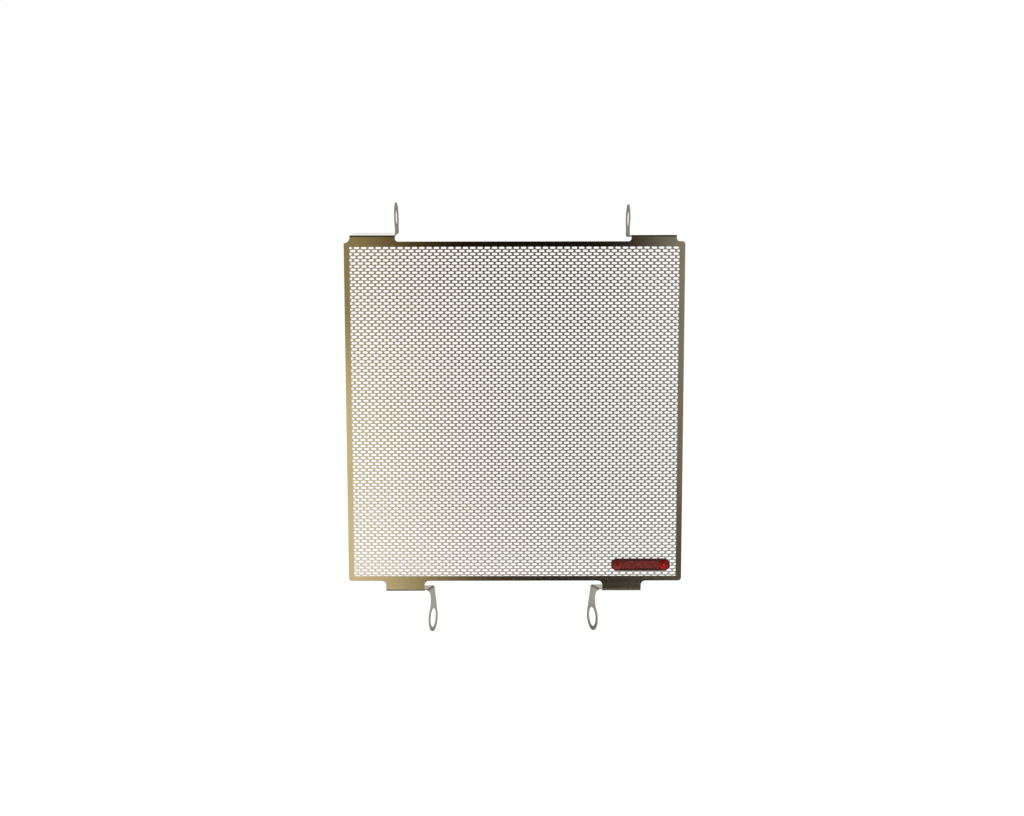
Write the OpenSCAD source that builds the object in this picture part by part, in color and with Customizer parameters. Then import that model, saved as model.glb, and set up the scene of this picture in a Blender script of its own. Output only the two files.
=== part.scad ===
// Radiator guard for a motorcycle: one sheet of stainless steel, etched with staggered slots,
// with four tabs folded back round the radiator and an eye on the end of each.
// The front face looks along -Y, +X is to the right of someone facing it, +Z is up, and
// lengths are in millimetres. The origin is the middle of the part's overall box.

/* [Sheet] */
// Width of the flat front
sheet_w = 330; // [240:1:420]
// Height of the flat front, without its tabs
sheet_h = 333.4; // [240:1:420]
// Thickness of the sheet
sheet_t = 1; // [0.8:0.1:1.5]
// Inside radius of every fold
fold_r = 1; // [0.5:0.1:2]
// Radius of the rounded corners
corner_r = 3; // [1:0.5:5]

/* [Slots] */
// Plain border at the two sides of the slotted window
border_side = 5.25; // [4:0.25:12]
// Plain border above the slotted window
border_top = 5.05; // [4:0.05:12]
// Plain border below the slotted window
border_bottom = 4.65; // [4:0.05:12]
// Distance between slots along a row on the real sheet
slot_pitch_x = 7; // [5:0.1:10]
// Distance between rows on the real sheet
slot_pitch_z = 2.96; // [2.4:0.02:5]
// Length of a slot on the real sheet
slot_l = 5.2; // [3.6:0.1:6]
// Height of a slot on the real sheet
slot_h = 2.25; // [1.4:0.05:2.3]
// How many times coarser the slots here are than the real ones
slot_coarse = 3.6; // [3:0.1:8]

/* [Upper tabs] */
// Width of an upper tab
top_tab_w = 43.8; // [30:0.1:60]
// Height of the upper tabs, from the sheet's edge to the outside of the fold
top_tab_h = 6.2; // [5.5:0.1:12]
// Distance from the sheet's left side to the upper left tab, which is also the radius of the sweep there
top_left_out = 5.7; // [4:0.1:7]
// Distance from the sheet's right side to the upper right tab
top_right_out = 8.2; // [7:0.1:60]
// Radius where an upper tab meets the sheet's edge
top_fillet = 3; // [1:0.5:4]
// Angle that the upper left tab is folded through
top_left_fold = 77.5; // [70:0.5:90]
// Angle that the upper right tab is folded through
top_right_fold = 85; // [70:0.5:90]

/* [Upper ears] */
// Diameter of the eye in an ear
ear_eye_d = 15.5; // [8:0.5:20]
// Outside diameter of an ear's round end
ear_d = 27.6; // [26:0.2:30]
// Height of the eye's centre above the folded tab
ear_reach = 16.2; // [16:0.2:30]
// Width of an ear where it is folded up
ear_root = 22.4; // [18:0.2:26]
// How far the left ear stands past the inner end of its tab
left_ear_step = 0.2; // [-3:0.1:4]
// How far the right ear stands past the inner end of its tab
right_ear_step = 2.1; // [-3:0.1:4]
// Distance of the left ear's front edge behind the end of its tab's fold
left_ear_back = 6.4; // [2:0.2:12]
// Distance of the right ear's front edge behind the end of its tab's fold
right_ear_back = 3; // [2:0.2:12]

/* [Lower tabs] */
// Width of a lower tab
bottom_tab_w = 38.2; // [30:0.1:60]
// Height of the lower tabs, from the sheet's edge to the outside of the fold
bottom_tab_h = 10.4; // [8:0.1:16]
// Distance from the sheet's left side to the lower left tab
bottom_left_out = 36.9; // [20:0.1:70]
// Distance from the sheet's right side to the lower right tab
bottom_right_out = 40; // [20:0.1:70]
// Radius where a lower tab meets the sheet's edge
bottom_fillet = 4.5; // [2:0.5:5.5]
// Angle that both lower tabs are folded through
bottom_fold = 85; // [75:0.5:90]

/* [Lower lugs] */
// Diameter of the eye in a lug
lug_eye_d = 19; // [10:0.5:22]
// Outside diameter of a lug's round end
lug_d = 27.2; // [24:0.2:32]
// Distance of the eye's centre below the folded tab
lug_reach = 31; // [27:0.5:45]
// Distance of the eye's centre behind the lug's front edge
lug_eye_back = 16.8; // [13:0.2:20]
// Width of a lug where it is folded down
lug_root = 20.5; // [18:0.5:26]
// Radius of the hollow in a lug's front edge
lug_neck_r = 12; // [11:0.5:20]
// How far a lug's front corner stands past the inner end of its tab
lug_step = 3.3; // [2:0.1:8]
// Angle that the left lug is turned from straight backwards
left_lug_splay = 13; // [0:1:25]
// Angle that the right lug is turned from straight backwards
right_lug_splay = 17; // [0:1:25]
// Distance of the left lug's front edge behind the end of its tab's fold
left_lug_back = 2.6; // [2:0.2:12]
// Distance of the right lug's front edge behind the end of its tab's fold
right_lug_back = 6.6; // [2:0.2:12]
// Radius of the rear corner at the outer end of each folded tab
tab_corner_r = 6; // [1:0.5:10]

/* [Badge] */
// Length of the badge plate
badge_l = 58.3; // [50:0.1:80]
// Width of the badge plate
badge_w = 12.2; // [11.6:0.1:16]
// Thickness of the badge plate
badge_t = 1.2; // [1:0.1:2]
// Width of the raised rim round the badge plate
badge_rim = 0.8; // [0.5:0.1:0.9]
// Depth of the field inside that rim
badge_sink = 0.4; // [0.2:0.05:0.6]
// Width of the plain raised bar between the rivets
bar_w = 7.2; // [5:0.1:8]
// Gap between that bar and each rivet's head
bar_gap = 1.1; // [0.5:0.1:3]
// Distance from the badge's middle to the sheet's right side
badge_from_side = 40.6; // [40:0.1:120]
// Distance from the badge's middle to the sheet's lower edge
badge_from_edge = 16.3; // [15:0.1:60]

/* [Rivets] */
// Diameter of a rivet's head
rivet_head_d = 9.6; // [7:0.1:9.8]
// Height of a rivet's head
rivet_head_h = 1.3; // [1:0.1:2.5]
// Height of the upright edge of that head
rivet_edge_h = 0.4; // [0.2:0.1:0.8]
// Diameter of a rivet's shank
rivet_d = 4; // [3:0.1:4.6]
// Diameter of a rivet's closed end behind the sheet
rivet_tail_d = 6; // [5.2:0.1:8]
// Length of a rivet's closed end
rivet_tail_h = 1.6; // [1:0.1:3]
// Diameter of the pin left inside a rivet
pin_d = 1.8; // [1:0.1:2.2]
// Depth of the pin's two ends below the rivet's ends
pin_sink = 0.25; // [0.1:0.05:0.4]
// Gap round a rivet's shank, and round its pin
rivet_gap = 0.05; // [0.02:0.01:0.1]

/* [Hidden] */
$fn = 64;
steel = "#a29266";
enamel = "#2a0d0b";
rivet_red = "#b3100f";
pin_brass = "#b58a3c";
// How far a cutter runs past a face
lap = 0.01;
// A fold is this much thinner and narrower on each side than the flats that it joins, and each of
// them runs this far into it, so that no face of the one lies on a face of the other
fold_less = 0.01;
fold_lap = 0.02;

// Folds: their outside radius, and how high each tab's flat part stands at the front
fold_out = fold_r + sheet_t;
edge_z = sheet_h / 2;
side_x = sheet_w / 2;
top_flat = top_tab_h - fold_out;
bottom_flat = bottom_tab_h - fold_out;

// Slotted window, with a pattern that fits it: a row holds a whole number of slots and a half
window_w = sheet_w - 2 * border_side;
window_h = sheet_h - border_top - border_bottom;
window_x = -window_w / 2;
window_top = edge_z - border_top;
columns = max(2, round(window_w / (slot_pitch_x * slot_coarse) - 0.5));
rows = 2 * max(1, round(window_h / (2 * slot_pitch_z * slot_coarse)));
// The top row stands this share of a pitch below the window's edge, and the bottom row's middle is on it
top_gap = 1 / 3;
pitch_x = window_w / (columns + 0.5);
pitch_z = window_h / (rows - 1 + top_gap);
hole_l = slot_l * pitch_x / slot_pitch_x;
hole_h = slot_h * pitch_z / slot_pitch_z;
// Length of the point at each end of a slot
hole_point = hole_h / 2;

// Badge: its middle, its rivets, and the plain land behind it, a little smaller all round
badge_x = side_x - badge_from_side;
badge_z = badge_from_edge - edge_z;
rivet_x = (badge_l - badge_w) / 2;
rivet_bore = rivet_d + 2 * rivet_gap;
badge_field = badge_t - badge_sink;
bar_l = 2 * rivet_x - rivet_head_d - 2 * bar_gap;
land_in = 0.6;

// Splay and setback of each ear and lug, and how far past its tab's end its fold starts
left_ear = [0, left_ear_back, left_ear_step - fold_out];
right_ear = [0, right_ear_back, right_ear_step - fold_out];
left_lug = [left_lug_splay, left_lug_back, lug_step - fold_out * cos(left_lug_splay)];
right_lug = [right_lug_splay, right_lug_back, lug_step - fold_out * cos(right_lug_splay)];

// Overall box, whose middle is the origin
box_top = edge_z + top_flat + max(rise(top_left_fold, left_ear_back + ear_root / 2, ear_reach),
                                  rise(top_right_fold, right_ear_back + ear_root / 2, ear_reach)) + ear_d / 2;
box_bottom = -edge_z - bottom_flat - max(lug_drop(left_lug), lug_drop(right_lug));
box_front = -badge_field - rivet_head_h;
box_back = max(ear_depth(top_left_fold, left_ear_back), ear_depth(top_right_fold, right_ear_back),
               lug_depth(left_lug), lug_depth(right_lug));
middle = [0, (box_front + box_back) / 2, (box_top + box_bottom) / 2];

// Where a point of a folded tab lies, past the start of the fold and behind the front face.
// v runs along the folded tab from the end of its fold, and w outwards from its outer face.
function rise(fold, v, w) = fold_out * sin(fold) + v * cos(fold) + w * sin(fold);
function depth(fold, v, w) = fold_out * (1 - cos(fold)) + v * sin(fold) - w * cos(fold);

// The furthest that an ear or lug reaches back, and a lug down; a splayed lug's face lies ahead of its fold
function ear_depth(fold, back) = depth(fold, back + ear_root / 2, ear_reach) + ear_d / 2;
function lug_v(lug) = lug[1] + lug_eye_back * cos(lug[0]) - fold_r * sin(lug[0]);
function lug_depth(lug) = depth(bottom_fold, lug_v(lug), lug_reach)
    + lug_d / 2 * norm([cos(lug[0]) * sin(bottom_fold), cos(bottom_fold)]);
function lug_drop(lug) = rise(bottom_fold, lug_v(lug), lug_reach)
    + lug_d / 2 * norm([cos(lug[0]) * cos(bottom_fold), sin(bottom_fold)]);

// One slot of the pattern: a bar with pointed ends, drawn no further than the window's edges
function slot_outline(x, z) = [for (p = [[-1, 0], [-1, 1], [1, 1], [1, 0], [1, -1], [-1, -1]])
    let (reach = hole_l / 2 - (p.y == 0 ? 0 : hole_point))
    [min(max(x + p.x * reach, window_x), window_x + window_w),
     min(max(z + p.y * hole_h / 2, window_top - window_h), window_top)]];

// All slots, row by row from the top; every second row is moved by half a pitch
module slots() {
    for (row = [0 : rows - 1], col = [0 : columns])
        polygon(slot_outline(window_x + (col + row % 2 / 2) * pitch_x,
                             window_top - (row + top_gap) * pitch_z));
}

// A bar with round ends, lying along X with its middle at the origin
module pill(length, width) {
    square([length - width, width], center = true);
    for (side = [-1, 1]) translate([side * (length - width) / 2, 0]) circle(d = width);
}

// What a circle leaves of a square corner; the corner is at the origin and the circle lies towards side
module hollow_corner(r, side) {
    difference() {
        translate([side > 0 ? -lap : -r, -lap]) square(r + lap);
        translate([side * r, r]) circle(r);
    }
}

// Puts what is drawn for the left, inner end at x = 0, at a tab that ends this far from the sheet's side
module at_tab(side, out, width) {
    inner = side_x - out - width;
    if (side < 0) translate([-inner, 0, 0]) children();
    else translate([inner, 0, 0]) mirror([1, 0, 0]) children();
}

// The flat part of a tab on the sheet's upper edge, hollowed at its inner end and, if asked, at its outer end
module tab_outline(width, flat, fillet, outer) {
    translate([-width, -lap]) square([width, flat + fold_lap + lap]);
    hollow_corner(min(fillet, flat), 1);
    if (outer) translate([-width, 0]) hollow_corner(min(fillet, flat), -1);
}

// Outline of the flat front with its four tabs, up to the folds
module front_outline() {
    sweep_z = edge_z + top_flat;
    difference() {
        union() {
            square([sheet_w - 2 * corner_r, sheet_h], center = true);
            square([sheet_w, sheet_h - 2 * corner_r], center = true);
            for (x = [-1, 1], z = [-1, 1])
                translate([x * (side_x - corner_r), z * (edge_z - corner_r)]) circle(corner_r);
            translate([0, edge_z]) {
                at_tab(-1, top_left_out, top_tab_w) tab_outline(top_tab_w, top_flat, top_fillet, false);
                at_tab(1, top_right_out, top_tab_w) tab_outline(top_tab_w, top_flat, top_fillet, true);
            }
            mirror([0, 1]) translate([0, edge_z]) {
                at_tab(-1, bottom_left_out, bottom_tab_w)
                    tab_outline(bottom_tab_w, bottom_flat, bottom_fillet, true);
                at_tab(1, bottom_right_out, bottom_tab_w)
                    tab_outline(bottom_tab_w, bottom_flat, bottom_fillet, true);
            }
            // Room for the sweep at the upper left corner
            translate([-side_x, edge_z - corner_r]) square([top_left_out + lap, corner_r + top_flat]);
        }
        // The upper left tab's outer end sweeps down to the sheet's side
        translate([-side_x, sweep_z]) circle(top_left_out);
    }
}

// The front: its outline, less the slots and the rivets' holes, with a plain land behind the badge
module front() {
    translate([0, sheet_t, 0]) rotate([90, 0, 0]) linear_extrude(sheet_t) difference() {
        front_outline();
        difference() {
            slots();
            translate([badge_x, badge_z]) pill(badge_l - 2 * land_in, badge_w - 2 * land_in);
        }
        for (side = [-1, 1]) translate([badge_x + side * rivet_x, badge_z]) circle(d = rivet_bore);
    }
}

// A bar of the sheet carried round a fold whose axis is Z, from +X towards +Y
module fold(length, angle) {
    rotate_extrude(angle = angle) translate([fold_r + fold_less, fold_less])
        square([sheet_t - 2 * fold_less, length - 2 * fold_less]);
}

// A tab's fold and the flat part behind it, and on that the fold that carries an ear or lug.
// It starts at z = 0 on the front, and its inner end is at x = 0; children are an ear's or lug's outline,
// drawn with its root's front corner at the origin, its root along +X and its reach along +Y.
module folded_tab(width, angle, root, limb) {
    splay = limb[0];
    back = limb[1];
    inner = limb[2];
    // The tab runs into the second fold, and its rear edge lies a hair ahead of the root's rear corner
    root_x = inner + fold_lap / cos(splay);
    rear = back + root * cos(splay) - 2 * fold_lap;
    translate([0, fold_out, 0]) {
        rotate([90, 0, -90]) fold(width, angle);
        rotate([90 - angle, 0, 0]) translate([0, 0, fold_r]) {
            linear_extrude(sheet_t) difference() {
                polygon([[-width, -fold_lap], [0, -fold_lap], [0, back], [root_x, back],
                         [root_x + (rear - back) * tan(splay), rear], [-width, rear]]);
                translate([-width, rear]) mirror([0, 1]) hollow_corner(tab_corner_r, 1);
            }
            translate([inner, back, sheet_t]) rotate([0, 0, -splay]) {
                translate([0, root, fold_r]) rotate([90, 90, 0]) fold(root, 90);
                translate([fold_r, 0, 0]) rotate([90, 0, 90]) linear_extrude(sheet_t) children();
            }
        }
    }
}

// Outline of an ear: a round end on a straight stem, with its eye
module ear_outline() {
    difference() {
        union() {
            translate([0, fold_r - fold_lap]) square([ear_root, ear_reach - fold_r + fold_lap]);
            translate([ear_root / 2, ear_reach]) circle(d = ear_d);
        }
        translate([ear_root / 2, ear_reach]) circle(d = ear_eye_d);
    }
}

// Outline of a lug: a round end on a neck that is hollowed in front and straight behind, with its eye
module lug_outline() {
    r = lug_d / 2;
    eye = [lug_eye_back, lug_reach];
    // The rear edge runs from the root's corner to touch the round end
    to_eye = eye - [lug_root, fold_r];
    rear_dir = atan2(to_eye.y, to_eye.x) - asin(r / norm(to_eye));
    rear_l = sqrt(to_eye * to_eye - r * r);
    rear = [lug_root, fold_r] + rear_l * [cos(rear_dir), sin(rear_dir)];
    // The hollow's circle passes through the root's front corner and touches the round end
    corner = [0, fold_r];
    span = eye - corner;
    along = (span * span - 2 * lug_neck_r * r - r * r) / (2 * norm(span));
    across = sqrt(lug_neck_r * lug_neck_r - along * along);
    hollow = corner + (along * span + across * [-span.y, span.x]) / norm(span);
    touch = hollow + (eye - hollow) * lug_neck_r / (lug_neck_r + r);
    difference() {
        union() {
            polygon([corner, corner - [0, fold_lap], [lug_root, fold_r - fold_lap], [lug_root, fold_r], rear,
                     eye, touch]);
            translate(eye) circle(r);
        }
        translate(hollow) circle(lug_neck_r);
        translate(eye) circle(d = lug_eye_d);
    }
}

// The whole sheet: the slotted front, and a folded tab with its ear or lug at each corner
module guard_sheet() {
    color(steel) translate(-middle) {
        front();
        translate([0, 0, edge_z + top_flat]) {
            at_tab(-1, top_left_out, top_tab_w)
                folded_tab(top_tab_w, top_left_fold, ear_root, left_ear) ear_outline();
            at_tab(1, top_right_out, top_tab_w)
                folded_tab(top_tab_w, top_right_fold, ear_root, right_ear) ear_outline();
        }
        mirror([0, 0, 1]) translate([0, 0, edge_z + bottom_flat]) {
            at_tab(-1, bottom_left_out, bottom_tab_w)
                folded_tab(bottom_tab_w, bottom_fold, lug_root, left_lug) lug_outline();
            at_tab(1, bottom_right_out, bottom_tab_w)
                folded_tab(bottom_tab_w, bottom_fold, lug_root, right_lug) lug_outline();
        }
    }
}

// Turns what is drawn flat, with +Z towards the viewer, to stand on the sheet's front face at the badge
module on_front() {
    translate([badge_x, 0, badge_z] - middle) rotate([90, 0, 0]) children();
}

// The badge: a plate with a raised rim, a plain raised bar, and a hole at each end
module badge_plate() {
    color(enamel) on_front() difference() {
        linear_extrude(badge_t) pill(badge_l, badge_w);
        translate([0, 0, badge_field]) linear_extrude(badge_t) difference() {
            pill(badge_l - 2 * badge_rim, badge_w - 2 * badge_rim);
            pill(bar_l, bar_w);
        }
        for (side = [-1, 1]) translate([side * rivet_x, 0, -lap]) cylinder(d = rivet_bore, h = badge_t);
    }
}

// Profile of a set rivet, from its axis outwards, with the sheet's front face at y = 0
module rivet_profile() {
    dome_h = rivet_head_h - rivet_edge_h;
    dome_r = (pow(rivet_head_d / 2, 2) + dome_h * dome_h) / (2 * dome_h);
    hole = pin_d / 2 + rivet_gap;
    difference() {
        union() {
            translate([0, -sheet_t - rivet_tail_h]) square([rivet_tail_d / 2, rivet_tail_h]);
            translate([0, -sheet_t - lap]) square([rivet_d / 2, badge_field + sheet_t + 2 * lap]);
            translate([0, badge_field]) intersection() {
                translate([0, rivet_head_h - dome_r]) circle(dome_r);
                square([rivet_head_d / 2, rivet_head_h]);
            }
        }
        translate([0, -sheet_t - rivet_tail_h - lap])
            square([hole, badge_field + sheet_t + rivet_head_h + rivet_tail_h + 2 * lap]);
    }
}

// Two rivets, each with its head on the badge and its closed end behind the sheet
module badge_rivets() {
    color(rivet_red) on_front() for (side = [-1, 1])
        translate([side * rivet_x, 0, 0]) rotate_extrude() rivet_profile();
}

// The two pins that closing the rivets left inside them
module rivet_pins() {
    color(pin_brass) on_front() for (side = [-1, 1])
        translate([side * rivet_x, 0, pin_sink - sheet_t - rivet_tail_h])
            cylinder(d = pin_d, h = badge_field + sheet_t + rivet_head_h + rivet_tail_h - 2 * pin_sink);
}

guard_sheet();
badge_plate();
badge_rivets();
rivet_pins();
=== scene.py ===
"""Looks of a motorcycle radiator guard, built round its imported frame.

The guard is one sheet of stainless steel. It is made again here with every slot of its pattern: first as a
flat drawing of triangles, then carried round its folds, then given its thickness. The badge, its rivets and
their pins keep the frame's own meshes. Sizes are in millimetres from the middle of the sheet's front face,
with X to the right, Y to the back and Z up, and become metres in the frame when a mesh is made.
"""
import math

import bpy
import numpy as np
from mathutils import Matrix, Vector
from mathutils.geometry import delaunay_2d_cdt


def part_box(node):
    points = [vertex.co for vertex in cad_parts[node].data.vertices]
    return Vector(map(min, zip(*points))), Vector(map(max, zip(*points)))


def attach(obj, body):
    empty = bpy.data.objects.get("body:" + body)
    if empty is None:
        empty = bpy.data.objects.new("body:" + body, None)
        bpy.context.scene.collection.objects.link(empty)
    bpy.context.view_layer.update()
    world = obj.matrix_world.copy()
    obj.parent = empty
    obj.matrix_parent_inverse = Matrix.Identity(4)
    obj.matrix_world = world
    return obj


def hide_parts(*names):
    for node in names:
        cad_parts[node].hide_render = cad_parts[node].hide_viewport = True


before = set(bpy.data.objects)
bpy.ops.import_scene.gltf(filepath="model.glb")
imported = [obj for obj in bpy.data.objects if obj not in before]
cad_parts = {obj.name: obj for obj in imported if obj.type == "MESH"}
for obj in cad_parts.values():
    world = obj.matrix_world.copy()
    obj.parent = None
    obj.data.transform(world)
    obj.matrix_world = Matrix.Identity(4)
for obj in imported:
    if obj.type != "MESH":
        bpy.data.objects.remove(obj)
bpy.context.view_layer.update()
MM = 0.001

# Sheet
SHEET_W = 330.0
SHEET_H = 333.4
SHEET_T = 1.0
FOLD_R = 1.0
CORNER_R = 3.0
SIDE_X = SHEET_W / 2
EDGE_Z = SHEET_H / 2
FOLD_OUT = FOLD_R + SHEET_T

# Slots: the plain border round them, their pitch and size, and the straight part of a slot's blunt end
BORDER_SIDE = 5.25
BORDER_TOP = 5.05
BORDER_BOTTOM = 4.65
SLOT_PITCH_X = 7.0
SLOT_PITCH_Z = 2.96
SLOT_L = 5.2
SLOT_H = 2.25
SLOT_END_H = 0.9
SLOT_END_L = 0.9
# The top row's middle lies this share of a pitch below the window's edge, and the bottom row's on the edge
TOP_GAP = 1 / 3

# Tabs: each pair's flat height, fillet and width, and how far each is from the sheet's side
TOP_FLAT = 4.2
TOP_FILLET = 3.0
TOP_TAB_W = 43.8
TOP_LEFT_OUT = 5.7
TOP_RIGHT_OUT = 8.2
BOTTOM_FLAT = 8.4
BOTTOM_FILLET = 4.5
BOTTOM_TAB_W = 38.2
BOTTOM_LEFT_OUT = 36.9
BOTTOM_RIGHT_OUT = 40.0
TAB_CORNER_R = 6.0
TOP_LEFT_FOLD = 77.5
TOP_RIGHT_FOLD = 85.0
BOTTOM_FOLD = 85.0

# Ears and lugs
EAR_ROOT = 22.4
EAR_R = 13.8
EAR_EYE_R = 7.75
EAR_REACH = 16.2
LUG_ROOT = 20.5
LUG_R = 13.6
LUG_EYE_R = 9.5
LUG_REACH = 31.0
LUG_EYE_BACK = 16.8
LUG_NECK_R = 12.0
LEFT_LUG_SPLAY = 13.0
RIGHT_LUG_SPLAY = 17.0

# How far each ear's and lug's front edge lies behind the end of its tab's fold, and how far it stands past
# the inner end of its tab
LEFT_EAR_BACK = 6.4
LEFT_EAR_STEP = 0.2
RIGHT_EAR_BACK = 3.0
RIGHT_EAR_STEP = 2.1
LEFT_LUG_BACK = 2.6
RIGHT_LUG_BACK = 6.6
LUG_STEP = 3.3

# How dark the painted shade is on the folds of the upper tabs, of the lower tabs, and of the ears and lugs;
# it stands in for the dark reflection in each bend
TOP_FOLD_SHADE = 0.55
BOTTOM_FOLD_SHADE = 1.0
LIMB_FOLD_SHADE = 0.45

# Badge: how far its middle is from the sheet's lower edge, half the size of its red band, and how far inside
# its outline a slot lies that it covers whole
BADGE_FROM_EDGE = 16.3
BAND_HALF_L = 18.3
BAND_HALF_H = 3.9
BADGE_COVER = 0.3

# How finely round parts and long straight edges are divided
FOLD_STEPS = 8
BEND_STEPS = 13
FILLET_STEPS = 6
EYE_STEPS = 48
LONGEST_STEP = 3.5
# Points nearer than this are one point
SAME_POINT = 1e-6

# Studio, in metres: how far the floor lies below the guard, the floor's and the cards' half width, and how
# far the front card stands before the guard and the back card behind it
FLOOR_BELOW = 0.45
FLOOR_HALF_W = 6
CARD_HALF_W = 1.6
CARD_BEFORE = 1.33
CARD_BEHIND = 0.9
# The tops of the front card and the back card, the ridge between the two upper cards, with how far it lies
# behind the sheet's front, and the rear end of the second of them
FRONT_CARD_TOP = 1.1
BACK_CARD_TOP = 0.405
RIDGE_TOP = 1.5
RIDGE_BACK = 0.1
REAR_END_TOP = 1.0
# How brightly the floor glows where the camera or a mirror sees it
FLOOR_GLOW = 0.34

# Camera, as fitted to the photograph: its place in millimetres, its pitch, yaw and roll in degrees, and its
# focal length and sensor width in millimetres
CAMERA_AT = (-3.2, -829.9, 66.8)
CAMERA_TURN = (4.225, 0.034, -0.098)
CAMERA_LENS = 29.883
CAMERA_SENSOR = 36.0

sheet_low, sheet_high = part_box("guard_sheet")
badge_low, badge_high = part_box("badge_plate")
FRONT_Y = sheet_low.y / MM
BADGE_X = (badge_low.x + badge_high.x) / 2 / MM
BADGE_Z = BADGE_FROM_EDGE - EDGE_Z
MIDDLE_Z = (badge_low.z + badge_high.z) / 2 / MM - BADGE_Z
BADGE_L = (badge_high.x - badge_low.x) / MM
BADGE_W = (badge_high.z - badge_low.z) / MM


def in_frame(points):
    """Points in millimetres from the sheet's middle, as metres in the frame."""
    return (np.asarray(points, float) + [0, FRONT_Y, MIDDLE_Z]) * MM


def arc(x, z, radius, start, end, steps=FILLET_STEPS):
    """Points on a circle: its centre plus radius times (cosine, sine) of equal steps between two angles."""
    turn = np.radians(np.linspace(start, end, steps + 1))
    return np.column_stack([x + radius * np.cos(turn), z + radius * np.sin(turn)])


def chain(parts):
    """Joins runs of points into one line, leaves out repeated points and divides its long straight
    stretches."""
    line = np.concatenate(parts)
    line = line[np.r_[True, np.linalg.norm(np.diff(line, axis=0), axis=1) > SAME_POINT]]
    length = np.linalg.norm(np.diff(line, axis=0), axis=1)
    count = np.maximum(1, np.ceil(length / LONGEST_STEP - SAME_POINT)).astype(int)
    share = (np.arange(count.sum()) - np.repeat(np.cumsum(count) - count, count)) / np.repeat(count, count)
    start = np.repeat(line[:-1], count, axis=0)
    step = np.repeat(np.diff(line, axis=0), count, axis=0)
    return np.vstack([start + share[:, None] * step, line[-1:]])


def zip_lines(above, below, x):
    """Triangles between two lines of points that both run to +X, given as point numbers.
    Each stretch of one line takes as its third corner the point that the other line has reached there."""
    x_above = np.maximum.accumulate(x[above])
    x_below = np.maximum.accumulate(x[below])
    reached_below = np.searchsorted(x_below[1:], x_above[1:], side="left")
    reached_above = np.searchsorted(x_above[1:], x_below[1:], side="right")
    return np.vstack([
        np.column_stack([above[:-1], below[reached_below], above[1:]]),
        np.column_stack([below[:-1], below[1:], above[reached_above]]),
    ])


def quads(a, b, c, d):
    """Two triangles for each set of four corners, in the order of the corners."""
    return np.vstack([np.column_stack([a, b, c]), np.column_stack([a, c, d])])


def left_fillet(start, fillet):
    """The hollow curve that climbs from the sheet's edge to a tab's left end."""
    return arc(start - fillet, EDGE_Z + fillet, fillet, -90, 0)


def sheet_edge(left_end, tabs, flat, fillet):
    """The sheet's upper or lower edge, from left to right with its height above the middle, straight under
    each tab, and the outline of each tab's flat part, from there to the line where its fold starts.
    Each tab is (the curve that climbs to its left end, its right end)."""
    line, flats = [left_end], []
    for climb, end in tabs:
        bend_x = np.linspace(climb[-1, 0], end, BEND_STEPS + 1)
        bend = np.column_stack([bend_x, np.full(BEND_STEPS + 1, EDGE_Z + flat)])
        drop = arc(end + fillet, EDGE_Z + fillet, fillet, 180, 270)
        base = chain([climb[:1], bend * [1, 0] + [0, EDGE_Z], drop[-1:]])
        line.append(base)
        flats.append(np.vstack([base[:-1], chain([drop[::-1], bend[::-1], climb[::-1]])[:-1]]))
    line.append(arc(SIDE_X - CORNER_R, EDGE_Z - CORNER_R, CORNER_R, 90, 0))
    return chain(line), flats


def upper_edge():
    """The upper edge, whose left end sweeps from the sheet's side to the left tab in a hollow quarter
    circle."""
    level = -math.degrees(math.asin(TOP_FLAT / TOP_LEFT_OUT))
    low, high = (arc(-SIDE_X, EDGE_Z + TOP_FLAT, TOP_LEFT_OUT, *turn) for turn in ((-90, level), (level, 0)))
    start = SIDE_X - TOP_RIGHT_OUT - TOP_TAB_W
    tabs = [(high, -SIDE_X + TOP_LEFT_OUT + TOP_TAB_W), (left_fillet(start, TOP_FILLET), start + TOP_TAB_W)]
    return sheet_edge(low, tabs, TOP_FLAT, TOP_FILLET)


def lower_edge():
    """The lower edge, with a rounded corner at its left end. It is drawn like the upper one and mirrored."""
    corner = arc(-SIDE_X + CORNER_R, EDGE_Z - CORNER_R, CORNER_R, 180, 90)
    tabs = [(left_fillet(start, BOTTOM_FILLET), start + BOTTOM_TAB_W)
            for start in (-SIDE_X + BOTTOM_LEFT_OUT, SIDE_X - BOTTOM_RIGHT_OUT - BOTTOM_TAB_W)]
    line, flats = sheet_edge(corner, tabs, BOTTOM_FLAT, BOTTOM_FILLET)
    return line * [1, -1], [flat * [1, -1] for flat in flats]


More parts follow.
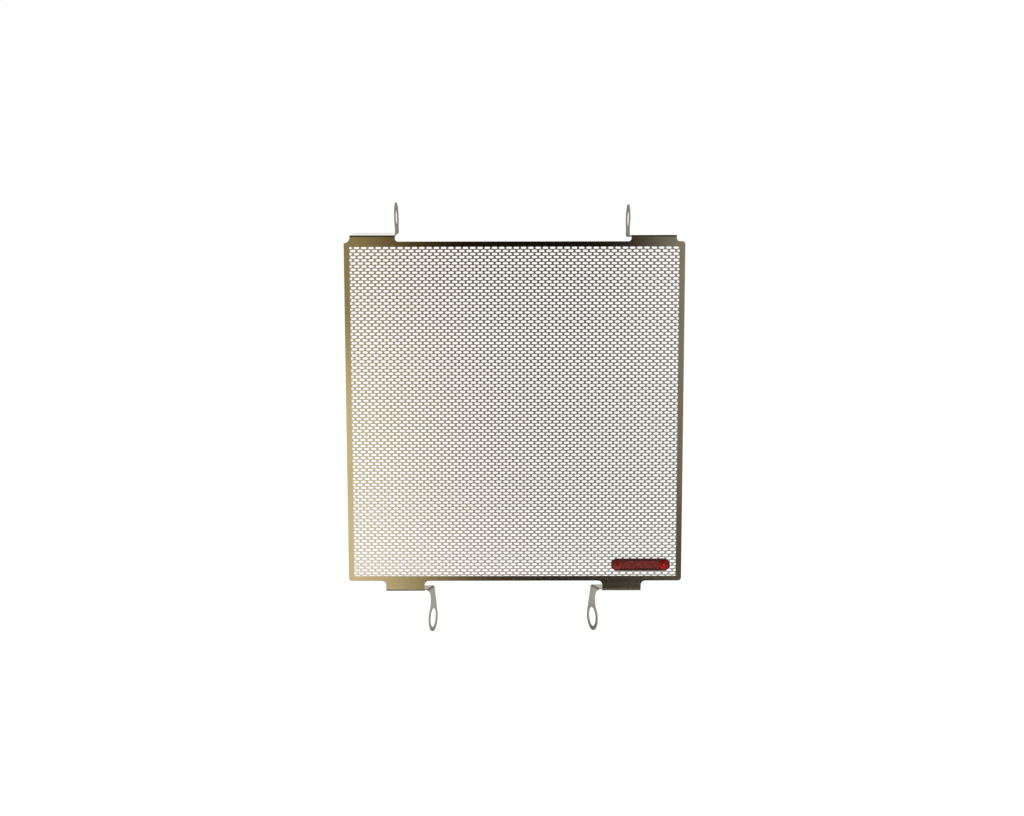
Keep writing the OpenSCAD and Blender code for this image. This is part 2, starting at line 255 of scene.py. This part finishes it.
def slot_rows():
    """The upper and the lower line of every row, each from the sheet's left side to its right side, and the
    places of the slots' middles. A row's lines part at each slot: (end, shoulder, shoulder, end) over it and
    under it, where the end is half the blunt end's height from the row's middle and the shoulder half the
    slot's height. Every second row is moved by half a pitch, and the window's edges cut the slots that cross
    them."""
    window_w = SHEET_W - 2 * BORDER_SIDE
    window_h = SHEET_H - BORDER_TOP - BORDER_BOTTOM
    window_top = EDGE_Z - BORDER_TOP
    columns = round(window_w / SLOT_PITCH_X - 0.5)
    rows = 2 * round(window_h / (2 * SLOT_PITCH_Z))
    pitch_x = window_w / (columns + 0.5)
    pitch_z = window_h / (rows - 1 + TOP_GAP)
    row = np.arange(rows)[:, None]
    middle_x = (np.arange(columns + 1) + row % 2 / 2) * pitch_x - window_w / 2
    middle_z = window_top - (row + TOP_GAP) * pitch_z
    lines = []
    for sign, room in ((1, window_top - middle_z), (-1, middle_z - window_top + window_h)):
        high = np.minimum(SLOT_H / 2, room)
        end = np.minimum(SLOT_END_H / 2, high)
        shoulder = SLOT_END_L * (high - end) / (SLOT_H / 2 - SLOT_END_H / 2)
        reach = np.stack([-SLOT_L / 2 + 0 * shoulder, shoulder - SLOT_L / 2,
                          SLOT_L / 2 - shoulder, SLOT_L / 2 + 0 * shoulder], axis=2)
        x = np.clip(middle_x[:, :, None] + reach, -window_w / 2, window_w / 2).reshape(rows, -1)
        z = np.tile(np.hstack([end, high, high, end]), (1, columns + 1))
        x = np.hstack([np.full((rows, 1), -SIDE_X), x, np.full((rows, 1), SIDE_X)])
        z = middle_z + sign * np.hstack([end, z, end])
        lines.append(np.stack([x, z], axis=2))
    return lines[0], lines[1], middle_x, middle_z


def under_badge(x, z):
    """True for each slot that the badge covers whole: its far corner lies inside the badge's round-ended
    form."""
    straight = (BADGE_L - BADGE_W) / 2
    past_x = np.maximum(0, abs(x - BADGE_X) + SLOT_L / 2 - straight)
    return np.hypot(past_x, abs(z - BADGE_Z) + SLOT_H / 2) < BADGE_W / 2 - BADGE_COVER


def front_panel():
    """The flat front as a list of (points x and z, triangles): first the strips between the rows, the webs
    between a row's slots, the borders and the plain land behind the badge, and then each tab's flat part."""
    over, under, slot_x, slot_z = slot_rows()
    (top, top_flats), (bottom, bottom_flats) = upper_edge(), lower_edge()
    points = np.concatenate([over.reshape(-1, 2), under.reshape(-1, 2), top, bottom])
    rows, wide = over.shape[:2]
    number_over = np.arange(rows * wide).reshape(rows, wide)
    number_under = number_over + rows * wide
    number_top = 2 * rows * wide + np.arange(len(top))
    number_bottom = number_top[-1] + 1 + np.arange(len(bottom))
    x = points[:, 0]
    faces = [zip_lines(number_top, number_over[0], x), zip_lines(number_under[-1], number_bottom, x)]
    faces += [zip_lines(number_under[r], number_over[r + 1], x) for r in range(rows - 1)]
    left, right = slice(0, None, 4), slice(1, None, 4)
    faces.append(quads(number_over[:, left].ravel(), number_under[:, left].ravel(),
                       number_under[:, right].ravel(), number_over[:, right].ravel()))
    closed_row, closed_slot = np.nonzero(under_badge(slot_x, slot_z + 0 * slot_x))
    for step in (1, 2, 3):
        at = 4 * closed_slot + step
        faces.append(quads(number_over[closed_row, at], number_under[closed_row, at],
                           number_under[closed_row, at + 1], number_over[closed_row, at + 1]))
    return [(points, np.vstack(faces))] + [fill(flat) for flat in top_flats + bottom_flats]


def grid_faces(wide, high):
    """Triangles over a grid of points numbered row by row, for columns that run to the right of the rows."""
    number = np.arange(wide * high).reshape(high, wide)
    return quads(number[:-1, :-1].ravel(), number[:-1, 1:].ravel(),
                 number[1:, 1:].ravel(), number[1:, :-1].ravel())


def fill(outline, hole=None):
    """Triangles over a flat outline, less a hole, all turned the same way round. None is a sliver between
    points that lie on one straight line."""
    points = outline if hole is None else np.concatenate([outline, hole])
    loops = [list(range(len(outline)))]
    if hole is not None:
        loops.append(list(range(len(outline), len(points))))
    inside_less_holes = 2
    corners = [Vector(point) for point in points]
    filled = delaunay_2d_cdt(corners, [], loops, inside_less_holes, SAME_POINT)
    faces = np.array([[filled[3][corner][0] for corner in face] for face in filled[2]])
    a, b, c = (points[faces[:, k]] for k in range(3))
    turned = np.cross(b - a, c - a) < 0
    faces[turned] = faces[turned][:, ::-1]
    return points, faces


def ear_outline():
    """An ear as (height above the tab, distance along its root): a round end on a straight stem."""
    middle = EAR_ROOT / 2
    meet = math.degrees(math.asin(middle / EAR_R))
    end = arc(EAR_REACH, middle, EAR_R, -180 + meet, 180 - meet, EYE_STEPS)
    eye = arc(EAR_REACH, middle, EAR_EYE_R, 0, 360, EYE_STEPS)[:-1]
    return np.vstack([[FOLD_R, 0], end, [FOLD_R, EAR_ROOT]]), eye


def lug_outline():
    """A lug as (height above the tab, distance along its root): a round end on a neck. A circle through the
    root's front corner hollows the neck in front and touches the round end, and behind it is straight."""
    eye = np.array([LUG_REACH, LUG_EYE_BACK])
    front, rear = np.array([FOLD_R, 0.0]), np.array([FOLD_R, LUG_ROOT])
    span = eye - front
    far = np.linalg.norm(span)
    along = (far ** 2 - 2 * LUG_NECK_R * LUG_R - LUG_R ** 2) / (2 * far)
    across = math.sqrt(LUG_NECK_R ** 2 - along ** 2)
    hollow = front + (along * span + across * np.array([span[1], -span[0]])) / far
    start = math.degrees(math.atan2(*(front - hollow)[::-1]))
    stop = math.degrees(math.atan2(*(eye - hollow)[::-1]))
    neck = arc(*hollow, LUG_NECK_R, start, stop, EYE_STEPS // 4)
    away = eye - rear
    slant = math.atan2(away[1], away[0]) + math.asin(LUG_R / np.linalg.norm(away))
    first = math.degrees(math.atan2(*(hollow - eye)[::-1]))
    last = math.degrees(slant) + 90
    end = arc(*eye, LUG_R, first, last if last > first else last + 360, EYE_STEPS)
    return np.vstack([neck, end[1:], rear]), arc(*eye, LUG_EYE_R, 0, 360, EYE_STEPS)[:-1]


def fold_shade_share(share):
    """How much painted shade a fold gets at each share of its turn: fully, but for its two ends."""
    return np.minimum(1, 4 * np.sin(share * math.pi))


def folded_limb(width, flat, fold, fold_shade, root, splay, back, step, outline):
    """A tab's fold, its flat part, the fold on that and the ear or lug, as a list of (outer points, inner
    points, triangles, bend). Bend is how much painted shade a point gets on a fold, up to fold_shade on the
    tab's own fold, and 0 on a flat part. Back and step say where the ear or lug starts, and root is its
    width there.
    X runs along the tab with its inner end at 0, v from the fold's end over the tab, w out from the tab's
    outer face, and u along the second fold, which is turned by the splay."""
    sine, cosine = math.sin(math.radians(fold)), math.cos(math.radians(fold))
    lean, upright = math.sin(math.radians(splay)), math.cos(math.radians(splay))
    inner = step - FOLD_OUT * upright
    base = EDGE_Z + flat

    def on_fold(x, turn, w):
        """A circle about the fold's axis, w further out than its outside."""
        radius = FOLD_OUT + w
        return np.column_stack([x, FOLD_OUT - radius * np.cos(turn), base + radius * np.sin(turn)])

    def on_tab(x, v, w):
        """Along the tab by v, and out from it by w."""
        depth = FOLD_OUT * (1 - cosine) + v * sine - w * cosine
        return np.column_stack([x, depth, base + FOLD_OUT * sine + v * cosine + w * sine])

    def on_limb(out, u, w):
        """Out from the root by out, along it by u, turned by the splay."""
        return on_tab(inner + out * upright + u * lean, back - out * lean + u * upright, w)

    bend_x = np.linspace(-width, 0, BEND_STEPS + 1)
    share, x = (g.ravel() for g in np.meshgrid(np.linspace(0, 1, FOLD_STEPS + 1), bend_x, indexing="ij"))
    turn = share * math.radians(fold)
    # Painted shade: each fold carries its share of painted shade, standing in for the dark reflection in the
    # bend, as its bend value
    parts = [(on_fold(x, turn, 0), on_fold(x, turn, -SHEET_T), grid_faces(BEND_STEPS + 1, FOLD_STEPS + 1),
              fold_shade * fold_shade_share(share))]

    rear = back + root * upright
    corner = arc(-width + TAB_CORNER_R, rear - TAB_CORNER_R, TAB_CORNER_R, 90, 180)
    edge = [[0, back], [inner, back], [inner + root * lean, rear]]
    plan, faces = fill(np.vstack([np.column_stack([bend_x, 0 * bend_x]), edge, corner]))
    parts.append((on_tab(*plan.T, 0), on_tab(*plan.T, -SHEET_T), faces, np.zeros(len(plan))))

    share, u = (g.ravel() for g in np.meshgrid(np.linspace(0, 1, FOLD_STEPS + 1), [0, root], indexing="xy"))
    turn = share * math.pi / 2
    layers = [on_limb(r * np.sin(turn), u, FOLD_R - r * np.cos(turn)) for r in (FOLD_R, FOLD_OUT)]
    parts.append((*layers, grid_faces(FOLD_STEPS + 1, 2), LIMB_FOLD_SHADE * fold_shade_share(share)))

    plan, faces = fill(*outline)
    layers = [on_limb(np.full(len(plan), out), plan[:, 1], plan[:, 0]) for out in (FOLD_R, FOLD_OUT)]
    parts.append((*layers, faces, np.zeros(len(plan))))
    return parts


def place_limb(parts, side, level, out, width):
    """Puts a limb at its tab: side -1 is left and 1 is right, level 1 the upper edge and -1 the lower one.
    A limb that is mirrored once has its triangles turned round."""
    end = SIDE_X - out - width
    scale, shift = [-side, 1, level], [side * end, 0, 0]
    turned = slice(None, None, -1 if side * level > 0 else 1)
    return [(outer * scale + shift, inner * scale + shift, faces[:, turned], bend)
            for outer, inner, faces, bend in parts]


def give_thickness(outer, inner, faces, bend):
    """A closed sheet from its outer and inner points and its outer triangles: points that meet are joined,
    the inner side repeats the outer one the other way round, and a wall closes each free edge. The sheet's
    normal at a point runs from its inner to its outer point, which holds on flats and folds alike."""
    _, first, number = np.unique(np.round(outer, 4), axis=0, return_index=True, return_inverse=True)
    outer, inner, faces, bend = outer[first], inner[first], number.ravel()[faces], bend[first]
    a, b, c = faces.T
    faces = faces[(a != b) & (b != c) & (c != a)]
    start, end = faces.ravel(), np.roll(faces, -1, axis=1).ravel()
    count = len(outer)
    free = ~np.isin(start * count + end, end * count + start)
    start, end = start[free], end[free]
    walls = np.column_stack([end, start, start + count, end + count])
    normal = (outer - inner) / SHEET_T
    corner_normals = np.vstack([normal[faces.ravel()], -normal[faces[:, ::-1].ravel()],
                                np.zeros((walls.size, 3))])
    face_sets = [faces, faces[:, ::-1] + count, walls]
    return np.vstack([outer, inner]), face_sets, corner_normals, np.tile(bend, 2)


def new_mesh(name, points, face_sets, corner_normals, bend, smooth_below=30):
    """A mesh from points in millimetres and sets of faces: the outer side, the inner side, and the walls,
    which have the second material. It is smooth where faces meet at less than an angle, and a corner whose
    given normal is zero keeps the mesh's own."""
    mesh = bpy.data.meshes.new(name)
    sizes = np.concatenate([np.full(len(f), f.shape[1]) for f in face_sets])
    corners = np.concatenate([f.ravel() for f in face_sets])
    mesh.vertices.add(len(points))
    mesh.vertices.foreach_set("co", in_frame(points).astype(np.float32).ravel())
    mesh.loops.add(len(corners))
    mesh.loops.foreach_set("vertex_index", corners.astype(np.int32))
    mesh.polygons.add(len(sizes))
    mesh.polygons.foreach_set("loop_start", (np.cumsum(sizes) - sizes).astype(np.int32))
    material = np.repeat([0, 0, 1], [len(f) for f in face_sets])
    mesh.polygons.foreach_set("material_index", material.astype(np.int32))
    mesh.update(calc_edges=True)
    mesh.shade_smooth()
    mesh.set_sharp_from_angle(angle=math.radians(smooth_below))
    mesh.normals_split_custom_set(corner_normals)
    # The bend attribute carries the painted shade on the folds
    mesh.attributes.new("bend", "FLOAT", "POINT").data.foreach_set("value", bend)
    piece = bpy.data.objects.new(name, mesh)
    bpy.context.scene.collection.objects.link(piece)
    return piece


def guard_sheet():
    """The whole sheet: the slotted front and its four limbs. Each limb is (side, edge, distance from the
    sheet's side, tab's width and flat height, fold, painted fold shade, root, splay, back, step, outline)."""
    parts = [(np.insert(plan, 1, 0, axis=1), np.insert(plan, 1, SHEET_T, axis=1), faces, np.zeros(len(plan)))
             for plan, faces in front_panel()]
    ear, lug = ear_outline(), lug_outline()
    top, bottom = (TOP_TAB_W, TOP_FLAT), (BOTTOM_TAB_W, BOTTOM_FLAT)
    limbs = [
        (-1, 1, TOP_LEFT_OUT, *top, TOP_LEFT_FOLD, TOP_FOLD_SHADE,
         EAR_ROOT, 0, LEFT_EAR_BACK, LEFT_EAR_STEP, ear),
        (1, 1, TOP_RIGHT_OUT, *top, TOP_RIGHT_FOLD, TOP_FOLD_SHADE,
         EAR_ROOT, 0, RIGHT_EAR_BACK, RIGHT_EAR_STEP, ear),
        (-1, -1, BOTTOM_LEFT_OUT, *bottom, BOTTOM_FOLD, BOTTOM_FOLD_SHADE,
         LUG_ROOT, LEFT_LUG_SPLAY, LEFT_LUG_BACK, LUG_STEP, lug),
        (1, -1, BOTTOM_RIGHT_OUT, *bottom, BOTTOM_FOLD, BOTTOM_FOLD_SHADE,
         LUG_ROOT, RIGHT_LUG_SPLAY, RIGHT_LUG_BACK, LUG_STEP, lug),
    ]
    for side, edge, out, width, *shape in limbs:
        parts += place_limb(folded_limb(width, *shape), side, edge, out, width)
    first = np.cumsum([0] + [len(p[0]) for p in parts[:-1]])
    outer = np.vstack([p[0] for p in parts])
    inner = np.vstack([p[1] for p in parts])
    faces = np.vstack([p[2] + n for p, n in zip(parts, first)])
    bend = np.concatenate([p[3] for p in parts])
    piece = new_mesh("steel_sheet", *give_thickness(outer, inner, faces, bend))
    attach(piece, "root")
    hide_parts("guard_sheet")
    return piece


def colour(text):
    """An sRGB hex colour as linear red, green, blue and alpha."""
    part = np.array([int(text[k:k + 2], 16) for k in (1, 3, 5)]) / 255
    return (*np.where(part <= 0.04045, part / 12.92, ((part + 0.055) / 1.055) ** 2.4), 1)


def add(tree, kind, inputs=(), **settings):
    """Adds a node with its settings; each input is a value or the socket that feeds it."""
    new = tree.nodes.new(kind)
    for name, value in settings.items():
        setattr(new, name, value)
    for socket, value in dict(inputs).items():
        if isinstance(value, bpy.types.NodeSocket):
            tree.links.new(value, new.inputs[socket])
        else:
            new.inputs[socket].default_value = value
    return new


def new_material(name):
    """An empty material, its node tree and its output."""
    material = bpy.data.materials.new(name)
    material.use_nodes = True
    material.node_tree.nodes.clear()
    return material, material.node_tree, material.node_tree.nodes.new("ShaderNodeOutputMaterial")


def ramp(tree, factor, stops):
    """A colour ramp with its stops as (place, hex colour)."""
    node = add(tree, "ShaderNodeValToRGB", {0: factor})
    points = node.color_ramp.elements
    for place, text in stops[:-2]:
        points.new(place)
    for point, (place, text) in zip(points, stops):
        point.position = place
        point.color = colour(text)
    return node.outputs["Color"]


def satin_steel():
    """Stainless steel, rolled bright and etched: a satin face that mirrors light and dark softly, with faint
    rolling lines along X. Round the slots the etched face is duller and paler; the paler colour is partly
    its own and partly a painted highlight for the light that the webs' edges and walls catch. The folds are
    rougher and carry painted shade, which stands in for the dark reflection in each bend."""
    material, tree, output = new_material("satin_stainless_steel")
    place = add(tree, "ShaderNodeTexCoord").outputs["Object"]
    apart = add(tree, "ShaderNodeSeparateXYZ", {0: place})
    half_w = (SHEET_W / 2 - BORDER_SIDE) * MM
    half_h = (SHEET_H - BORDER_TOP - BORDER_BOTTOM) / 2 * MM
    window_z = (MIDDLE_Z + (BORDER_BOTTOM - BORDER_TOP) / 2) * MM
    inside = add(tree, "ShaderNodeMath", {0: apart.outputs["X"], 1: 0.0, 2: half_w}, operation="COMPARE")
    level = add(tree, "ShaderNodeMath", {0: apart.outputs["Z"], 1: window_z, 2: half_h}, operation="COMPARE")
    etched = add(tree, "ShaderNodeMath", {0: inside.outputs[0], 1: level.outputs[0]}, operation="MULTIPLY")
    # Rolling lines are some 40 mm long and 0.4 mm apart
    lines = add(tree, "ShaderNodeMapping", {"Vector": place, "Scale": (25, 2500, 2500)})
    grain = add(tree, "ShaderNodeTexNoise", {"Vector": lines.outputs[0], "Scale": 1.0, "Detail": 3.0})
    cloud = add(tree, "ShaderNodeTexNoise", {"Vector": place, "Scale": 14.0, "Detail": 2.0})
    base = ramp(tree, cloud.outputs[0], [(0.3, "#c9bfab"), (0.7, "#d1c8b6")])
    # Partly painted highlight: inside the slotted window the base colour is paler, partly the etched face's
    # own tone and partly standing in for the light that the webs' edges and walls catch
    pale = add(tree, "ShaderNodeMix", {"Factor": etched.outputs[0], 6: base, 7: colour("#e6e0d6")},
               data_type="RGBA")
    # Painted shade: on the folds the steel's colour is darkened towards near black, standing in for the dark
    # reflection in each bend
    bend = add(tree, "ShaderNodeAttribute", attribute_name="bend")
    shade_factor = add(tree, "ShaderNodeMath", {0: bend.outputs["Fac"], 1: 0.9}, operation="MULTIPLY")
    fold_shade = add(tree, "ShaderNodeMix", {"Factor": shade_factor.outputs[0], 6: pale.outputs[2], 7: colour("#1c170f")},
               data_type="RGBA")
    dull = add(tree, "ShaderNodeMapRange",
               {"Value": grain.outputs[0], "From Min": 0.3, "From Max": 0.7, "To Min": 0.11, "To Max": 0.15})
    # The etched face is rougher than the border, and the stretched folds are rougher again
    rough = add(tree, "ShaderNodeMath", {0: etched.outputs[0], 1: 0.19, 2: dull.outputs[0]},
                operation="MULTIPLY_ADD")
    rough = add(tree, "ShaderNodeMath", {0: bend.outputs["Fac"], 1: 0.25, 2: rough.outputs[0]},
                operation="MULTIPLY_ADD")
    # Painted shade on the folds' reflection too: their specular tint is darkened the same way
    edge = add(tree, "ShaderNodeMix", {"Factor": shade_factor.outputs[0], 6: (1, 1, 1, 1), 7: colour("#2a251d")},
               data_type="RGBA")
    bump = add(tree, "ShaderNodeBump", {"Height": grain.outputs[0], "Strength": 0.06, "Distance": 0.00005})
    shader = add(tree, "ShaderNodeBsdfPrincipled",
                 {"Base Color": fold_shade.outputs[2], "Metallic": 1.0, "Roughness": rough.outputs[0],
                  "Specular Tint": edge.outputs[2], "Normal": bump.outputs[0]})
    tree.links.new(shader.outputs[0], output.inputs[0])
    return material


def plain_parts(name, hex_colour, metallic, roughness, left_colour=None):
    """A material of one colour with a little unevenness in its gloss, about a millimetre across. Where a
    left colour is given, it has that one to the left of the badge's middle."""
    material, tree, output = new_material(name)
    place = add(tree, "ShaderNodeTexCoord").outputs["Object"]
    speck = add(tree, "ShaderNodeTexNoise", {"Vector": place, "Scale": 900.0, "Detail": 2.0})
    rough = add(tree, "ShaderNodeMapRange", {"Value": speck.outputs[0], "To Min": roughness - 0.05,
                                             "To Max": roughness + 0.05})
    bump = add(tree, "ShaderNodeBump", {"Height": speck.outputs[0], "Strength": 0.1, "Distance": 0.0001})
    shader = add(tree, "ShaderNodeBsdfPrincipled",
                 {"Base Color": colour(hex_colour), "Metallic": metallic, "Roughness": rough.outputs[0],
                  "Normal": bump.outputs[0]})
    if left_colour:
        apart = add(tree, "ShaderNodeSeparateXYZ", {0: place})
        left = add(tree, "ShaderNodeMath", {0: apart.outputs["X"], 1: BADGE_X * MM}, operation="LESS_THAN")
        both = add(tree, "ShaderNodeMix",
                   {"Factor": left.outputs[0], 6: colour(hex_colour), 7: colour(left_colour)}, data_type="RGBA")
        tree.links.new(both.outputs[2], shader.inputs["Base Color"])
    tree.links.new(shader.outputs[0], output.inputs[0])
    return material


def badge_enamel():
    """Fired enamel on a small plate: a dark red band from rivet to rivet on a deep maroon field, both under
    a smooth gloss."""
    material, tree, output = new_material("fired_enamel")
    place = add(tree, "ShaderNodeTexCoord").outputs["Object"]
    apart = add(tree, "ShaderNodeSeparateXYZ", {0: place})
    across = add(tree, "ShaderNodeMath",
                 {0: apart.outputs["Z"], 1: (MIDDLE_Z + BADGE_Z) * MM, 2: BAND_HALF_H * MM},
                 operation="COMPARE")
    along = add(tree, "ShaderNodeMath", {0: apart.outputs["X"], 1: BADGE_X * MM, 2: BAND_HALF_L * MM},
                operation="COMPARE")
    bar = add(tree, "ShaderNodeMath", {0: across.outputs[0], 1: along.outputs[0]}, operation="MULTIPLY")
    cloud = add(tree, "ShaderNodeTexNoise", {"Vector": place, "Scale": 350.0, "Detail": 3.0})
    red = ramp(tree, cloud.outputs[0], [(0.35, "#45100b"), (0.65, "#7c1d15")])
    maroon = ramp(tree, cloud.outputs[0], [(0.35, "#260806"), (0.65, "#420e0a")])
    mixed = add(tree, "ShaderNodeMix", {"Factor": bar.outputs[0], 6: maroon, 7: red}, data_type="RGBA")
    shader = add(tree, "ShaderNodeBsdfPrincipled",
                 {"Base Color": mixed.outputs[2], "Roughness": 0.3, "Coat Weight": 0.5,
                  "Coat Roughness": 0.1})
    tree.links.new(shader.outputs[0], output.inputs[0])
    return material


def stage_plane(name, corners, material):
    """A flat four-cornered thing of the studio, with its corners in metres."""
    mesh = bpy.data.meshes.new(name)
    mesh.from_pydata(corners, [], [(0, 1, 2, 3)])
    mesh.materials.append(material)
    plane = bpy.data.objects.new(name, mesh)
    bpy.context.scene.collection.objects.link(plane)
    return plane


def card_corners(near, far):
    """The corners of a card from its two long edges, each given as (y, z) in metres."""
    return [(-CARD_HALF_W, *near), (CARD_HALF_W, *near), (CARD_HALF_W, *far), (-CARD_HALF_W, *far)]


def mirror_card(name, corners, rows, heights):
    """A glowing card that only mirrors see. Each row is the colours along X from -0.6 to 0.6 m, as (place,
    hex colour), and one row passes smoothly into the next between two heights."""
    material, tree, output = new_material(name)
    place = add(tree, "ShaderNodeTexCoord").outputs["Object"]
    apart = add(tree, "ShaderNodeSeparateXYZ", {0: place})
    along = add(tree, "ShaderNodeMapRange", {"Value": apart.outputs["X"], "From Min": -0.6, "From Max": 0.6})
    glow = ramp(tree, along.outputs[0], rows[0])
    for row, (high, low) in zip(rows[1:], heights):
        fall = add(tree, "ShaderNodeMapRange",
                   {"Value": apart.outputs["Z"], "From Min": high, "From Max": low},
                   interpolation_type="SMOOTHSTEP")
        below = ramp(tree, along.outputs[0], row)
        glow = add(tree, "ShaderNodeMix", {"Factor": fall.outputs[0], 6: glow, 7: below},
                   data_type="RGBA").outputs[2]
    shader = add(tree, "ShaderNodeEmission", {"Color": glow, "Strength": 1.0})
    tree.links.new(shader.outputs[0], output.inputs[0])
    card = stage_plane(name, corners, material)
    card.visible_camera = False
    card.visible_diffuse = False
    card.visible_shadow = False
    card.visible_transmission = False


def studio():
    """A pale floor well below the guard, a white room, and cards for the steel to mirror: one behind the
    camera, warm and bright at the left, dark in the middle and grey at the right, a dark and a grey one
    overhead and a grey one behind the guard."""
    floor_z = sheet_low.z - FLOOR_BELOW
    material, tree, output = new_material("pale_floor")
    seen = add(tree, "ShaderNodeLightPath")
    direct = add(tree, "ShaderNodeMath",
                 {0: seen.outputs["Is Camera Ray"], 1: seen.outputs["Is Glossy Ray"]}, operation="MAXIMUM")
    direct = add(tree, "ShaderNodeMath", {0: direct.outputs[0], 1: FLOOR_GLOW}, operation="MULTIPLY")
    lift = add(tree, "ShaderNodeEmission", {"Color": (1, 1, 1, 1), "Strength": direct.outputs[0]})
    matt = add(tree, "ShaderNodeBsdfDiffuse", {"Color": (0.9, 0.9, 0.9, 1)})
    both = add(tree, "ShaderNodeAddShader", {0: lift.outputs[0], 1: matt.outputs[0]})
    tree.links.new(both.outputs[0], output.inputs[0])
    stage_plane("floor", [(x * FLOOR_HALF_W, y * FLOOR_HALF_W, floor_z)
                          for x, y in ((-1, -1), (1, -1), (1, 1), (-1, 1))], material)

    front = sheet_low.y - CARD_BEFORE
    ridge = (sheet_low.y + RIDGE_BACK, RIDGE_TOP)
    back = sheet_high.y + CARD_BEHIND
    top_row = [(0.0, "#c9ba94"), (0.16, "#ab9c70"), (0.23, "#857655"), (0.29, "#53462a"), (0.37, "#1a1007"),
               (0.5, "#1a0f0b"), (0.68, "#150b08"), (0.75, "#1b130e"), (0.79, "#635c52"), (0.86, "#a5a199"),
               (1.0, "#c4c0b8")]
    middle_row = [(0.0, "#fff3cb"), (0.16, "#fbedc1"), (0.28, "#b4a680"), (0.37, "#6e6350"),
                  (0.47, "#453b30"), (0.7, "#453d34"), (0.78, "#776f65"), (0.86, "#928c82"),
                  (1.0, "#b4afa5")]
    low_row = [(0.0, "#fff8dc"), (0.16, "#fff5d0"), (0.21, "#eddeb0"), (0.32, "#a89a72"), (0.43, "#4b3921"),
               (0.51, "#2f220f"), (0.6, "#190f03"), (0.7, "#291c10"), (0.82, "#4d4841"), (1.0, "#706b63")]
    dark_row = [(0.0, "#2b241b"), (1.0, "#241f1b")]
    grey_row = [(0.0, "#908b82"), (1.0, "#8c8881")]
    back_rows = [[(0.0, tone), (1.0, tone)] for tone in ("#8f8b88", "#d0cec9", "#c3c6c5", "#6c6a67")]
    mirror_card("front_card", card_corners((front, floor_z), (front, FRONT_CARD_TOP)),
                [top_row, middle_row, low_row], [(0.2, -0.14), (-0.18, -0.54)])
    mirror_card("upper_card", card_corners((front, FRONT_CARD_TOP), ridge), [dark_row], [])
    mirror_card("rear_upper_card", card_corners(ridge, (back, REAR_END_TOP)), [grey_row], [])
    mirror_card("back_card", card_corners((back, floor_z), (back, BACK_CARD_TOP)), back_rows,
                [(0.34, 0.0), (0.0, -0.45), (-0.5, -0.62)])

    world = bpy.data.worlds.new("white_room")
    bpy.context.scene.world = world
    world.use_nodes = True
    tree = world.node_tree
    tree.nodes.clear()
    seen = add(tree, "ShaderNodeLightPath")
    direct = add(tree, "ShaderNodeMath",
                 {0: seen.outputs["Is Camera Ray"], 1: seen.outputs["Is Glossy Ray"]}, operation="MAXIMUM")
    direct = add(tree, "ShaderNodeMath", {0: direct.outputs[0], 1: seen.outputs["Is Transmission Ray"]},
                 operation="MAXIMUM")
    strength = add(tree, "ShaderNodeMapRange", {"Value": direct.outputs[0], "To Min": 0.75, "To Max": 1.0})
    sky = add(tree, "ShaderNodeBackground", {"Color": (1, 1, 1, 1), "Strength": strength.outputs[0]})
    tree.links.new(sky.outputs[0], add(tree, "ShaderNodeOutputWorld").inputs[0])


def soft_light(name, at, size, power):
    """A square lamp that faces the guard's middle."""
    data = bpy.data.lights.new(name, "AREA")
    data.shape = "SQUARE"
    data.size = size
    data.energy = power
    lamp = bpy.data.objects.new(name, data)
    lamp.matrix_world = Matrix.Translation(at) @ Vector(at).to_track_quat("Z", "Y").to_matrix().to_4x4()
    lamp.visible_glossy = False
    bpy.context.scene.collection.objects.link(lamp)


def photo_camera():
    """The camera, at the place and turn that were fitted to the photograph."""
    pitch, yaw, roll = (math.radians(a) for a in CAMERA_TURN)
    ahead = Vector((math.sin(yaw) * math.cos(pitch), math.cos(yaw) * math.cos(pitch), -math.sin(pitch)))
    level = Vector((math.cos(yaw), -math.sin(yaw), 0))
    upward = level.cross(ahead)
    right = level * math.cos(roll) + upward * math.sin(roll)
    up = upward * math.cos(roll) - level * math.sin(roll)
    data = bpy.data.cameras.new("camera")
    data.sensor_width = CAMERA_SENSOR
    data.lens = CAMERA_LENS
    camera = bpy.data.objects.new("camera", data)
    at = Vector(in_frame(CAMERA_AT))
    camera.matrix_world = Matrix.Translation(at) @ Matrix((right, up, -ahead)).transposed().to_4x4()
    bpy.context.scene.collection.objects.link(camera)
    bpy.context.scene.camera = camera


def dress(node, material):
    """Gives a frame node its material."""
    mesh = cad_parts[node].data
    mesh.materials.clear()
    mesh.materials.append(material)


photo_camera()
sheet = guard_sheet()
sheet.data.materials.append(satin_steel())
# Etching through the sheet leaves its edges matt and neutral grey
sheet.data.materials.append(plain_parts("etched_steel_edge", "#a39e9a", 0.4, 0.5))
dress("badge_plate", badge_enamel())
# Red anodised aluminium is deep in colour with a soft metal gleam, and the left rivet is given a darker,
# duller red
dress("badge_rivets", plain_parts("red_anodised_aluminium", "#920f0c", 0.75, 0.42, left_colour="#79291e"))
# A bare brass pin is a warm dot, its colour reddened as a painted reflection of the red metal round it, and
# the left rivet's pin is given a darker, duller colour
dress("rivet_pins", plain_parts("bare_brass", "#e87a52", 1.0, 0.35, left_colour="#882d1f"))
studio()
soft_light("key", (-0.9, -1.0, 1.3), 0.9, 14)
soft_light("fill", (1.2, -0.6, 0.7), 1.0, 7)
bpy.context.scene.view_settings.view_transform = "Standard"
